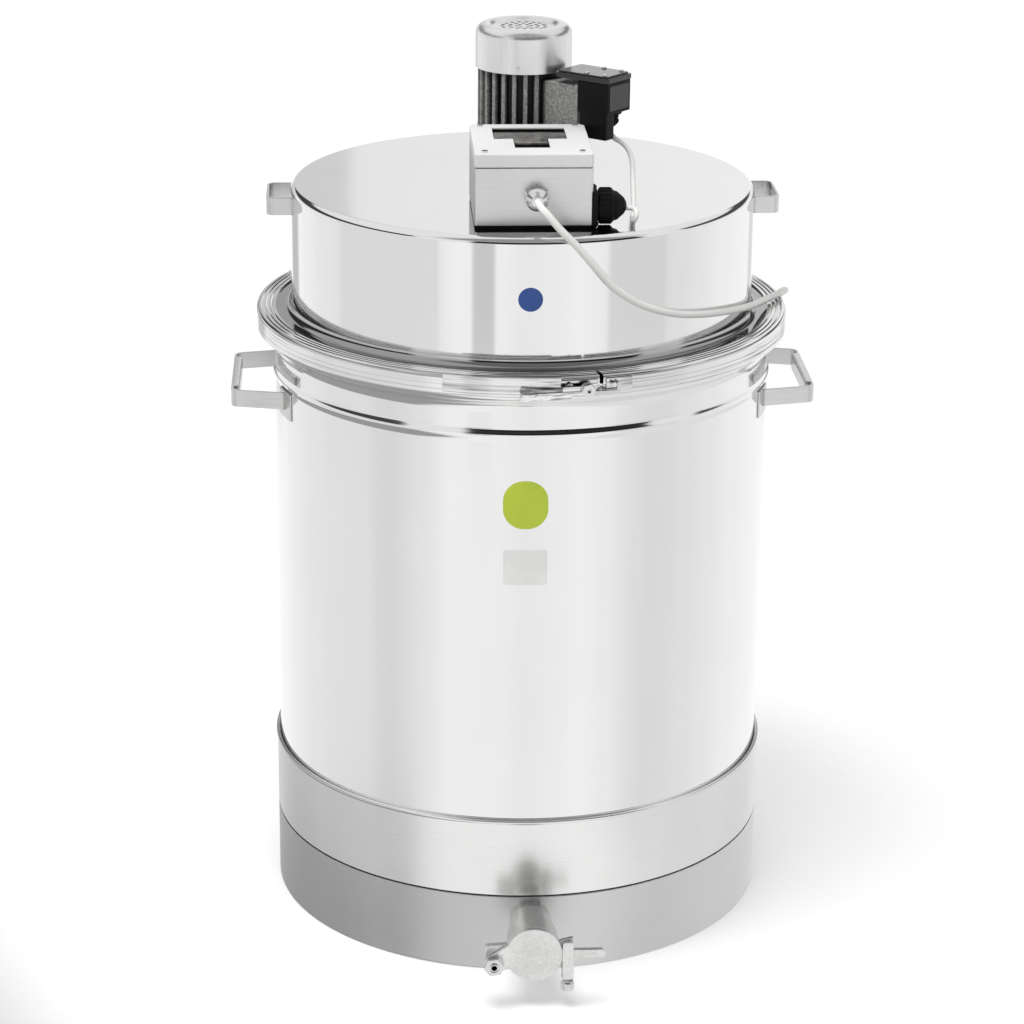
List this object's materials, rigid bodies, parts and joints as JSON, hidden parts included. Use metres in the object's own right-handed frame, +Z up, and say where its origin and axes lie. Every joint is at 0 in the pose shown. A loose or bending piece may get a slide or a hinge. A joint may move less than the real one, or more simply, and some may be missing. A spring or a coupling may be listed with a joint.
{
  "type": "cappings wax melter",
  "caption": "Stainless double-walled tank that melts wax cappings in a water jacket, with a geared stirrer on its clamped lid and a swing gate at the outlet.",
  "frame": {"origin": "centre of the tank's bottom plate, at ground level, on the axis of the tank and the stirrer", "axes": "+Z up along the tank's axis, -Y towards the outlet gate at the front, +X to the right seen from the front"},
  "size_m": [0.702, 0.8218, 1.088],
  "materials": {
    "polished_steel": "mirror polished stainless sheet",
    "matte_steel": "dull mill-finish stainless sheet",
    "vessel_steel": "smooth stainless sheet",
    "ring_steel": "bright stainless strip",
    "handle_steel": "bright stainless strip",
    "hood_steel": "brushed stainless, grain across",
    "cast_outlet": "fine blasted stainless casting",
    "bolt_steel": "bright fasteners",
    "seal_rubber": "matt black rubber",
    "black_plastic": "satin black moulding",
    "cast_dark": "dark speckled casting",
    "cowl_steel": "bright plated pressing",
    "gear_steel": "cut steel",
    "winding": "varnished copper and iron",
    "white_cable": "white silicone sheath",
    "brass_cock": "plain brass",
    "red_plastic": "red grip",
    "lamp_plastic": "clear coloured lens",
    "element": "heat-darkened sheath"
  },
  "bodies": {
    "tank": {"base_pan": "matte_steel", "base_band": "matte_steel", "outer_shell": "polished_steel", "inner_vessel": "vessel_steel", "vessel_floor": "vessel_steel", "rim_ring": "vessel_steel", "immersion_heater": "element", "outlet_pipe": "cast_outlet", "outlet_strainer": "vessel_steel", "valve_body": "cast_outlet", "valve_seal": "seal_rubber", "gate_pivot": "bolt_steel", "tank_handles": "handle_steel", "control_case": "hood_steel", "control_cover": "hood_steel", "thermostat": "black_plastic", "main_switch": "black_plastic", "pilot_lamps": "lamp_plastic", "mains_gland": "black_plastic", "lid_socket": "black_plastic", "tank_screws": "bolt_steel", "fill_neck": "handle_steel", "drain_cock": "brass_cock"},
    "lid": {"lid_shell": "polished_steel", "lid_seal": "seal_rubber", "clamp_ring": "ring_steel", "latch_pins": "bolt_steel", "lid_handles": "handle_steel", "gearbox_base": "cast_dark", "gearbox_cover": "cast_dark", "gearbox_bearings": "bolt_steel", "shaft_seal": "seal_rubber", "motor_housing": "cast_dark", "stator": "winding", "fan_cowl": "cowl_steel", "terminal_box": "black_plastic", "terminal_cover": "black_plastic", "hood_gasket": "seal_rubber", "hood_case": "hood_steel", "hood_cover": "hood_steel", "hood_rail": "gear_steel", "cable_glands": "bolt_steel", "motor_connector": "black_plastic", "motor_cable": "white_cable", "lid_cable": "white_cable", "lid_plug": "black_plastic", "lid_screws": "bolt_steel"},
    "latch_lever": {"latch_lever": "ring_steel"},
    "latch_link": {"latch_link": "ring_steel"},
    "stirrer": {"stirrer": "vessel_steel", "output_gear": "gear_steel"},
    "layshaft": {"layshaft_gears": "gear_steel"},
    "rotor": {"rotor_shaft": "gear_steel", "cooling_fan": "black_plastic"},
    "gate": {"gate_plate": "cast_outlet"},
    "gate_screw": {"gate_screw": "bolt_steel"},
    "thermostat_knob": {"thermostat_knob": "black_plastic"},
    "switch_rocker": {"switch_rocker": "black_plastic"},
    "fill_cap": {"fill_cap": "black_plastic"},
    "drain_lever": {"drain_lever": "red_plastic"}
  },
  "joints": [
    {"name": "lid_lift", "type": "slide", "parent": "tank", "child": "lid", "axis": [0, 0, 1], "range_m": [0, 0.56]},
    {"name": "stirrer_turn", "type": "hinge", "parent": "lid", "child": "stirrer", "pos_m": [0, 0, 0.9], "axis": [0, 0, 1], "continuous": true},
    {"name": "layshaft_turn", "type": "hinge", "parent": "lid", "child": "layshaft", "pos_m": [0, 0.035, 0.92], "axis": [0, 0, 1], "continuous": true},
    {"name": "rotor_turn", "type": "hinge", "parent": "lid", "child": "rotor", "pos_m": [0, 0, 1], "axis": [0, 0, 1], "continuous": true},
    {"name": "latch_lever_swing", "type": "hinge", "parent": "lid", "child": "latch_lever", "pos_m": [0.05696, -0.32302, 0.736], "axis": [0.1736, -0.9848, 0], "range_deg": [0, 150]},
    {"name": "latch_link_swing", "type": "hinge", "parent": "latch_lever", "child": "latch_link", "pos_m": [0.03772, -0.32336, 0.7375], "axis": [0.1736, -0.9848, 0], "range_deg": [-150, 0]},
    {"name": "gate_swing", "type": "hinge", "parent": "tank", "child": "gate", "pos_m": [-0.047, -0.396, 0.057], "axis": [0, -1, 0], "range_deg": [0, 90]},
    {"name": "gate_screw_turn", "type": "hinge", "parent": "tank", "child": "gate_screw", "pos_m": [0.0395, -0.3962, 0.03], "axis": [0, 0, 1], "continuous": true},
    {"name": "thermostat_turn", "type": "hinge", "parent": "tank", "child": "thermostat_knob", "pos_m": [0.04, 0.4, 0.12], "axis": [0, 1, 0], "range_deg": [0, 270]},
    {"name": "switch_rock", "type": "hinge", "parent": "tank", "child": "switch_rocker", "pos_m": [-0.042, 0.392, 0.12], "axis": [-1, 0, 0], "range_deg": [0, 14]},
    {"name": "fill_cap_lift", "type": "slide", "parent": "tank", "child": "fill_cap", "axis": [0, 0, 1], "range_m": [0, 0.05]},
    {"name": "drain_lever_turn", "type": "hinge", "parent": "tank", "child": "drain_lever", "pos_m": [-0.22698, 0.22698, 0.043], "axis": [0, 0, 1], "range_deg": [0, 90]}
  ],
  "couplings": [
    {"joint": "layshaft_turn", "follows": "stirrer_turn", "ratio": -4},
    {"joint": "rotor_turn", "follows": "stirrer_turn", "ratio": 16},
    {"joint": "latch_link_swing", "follows": "latch_lever_swing", "ratio": -1}
  ]
}
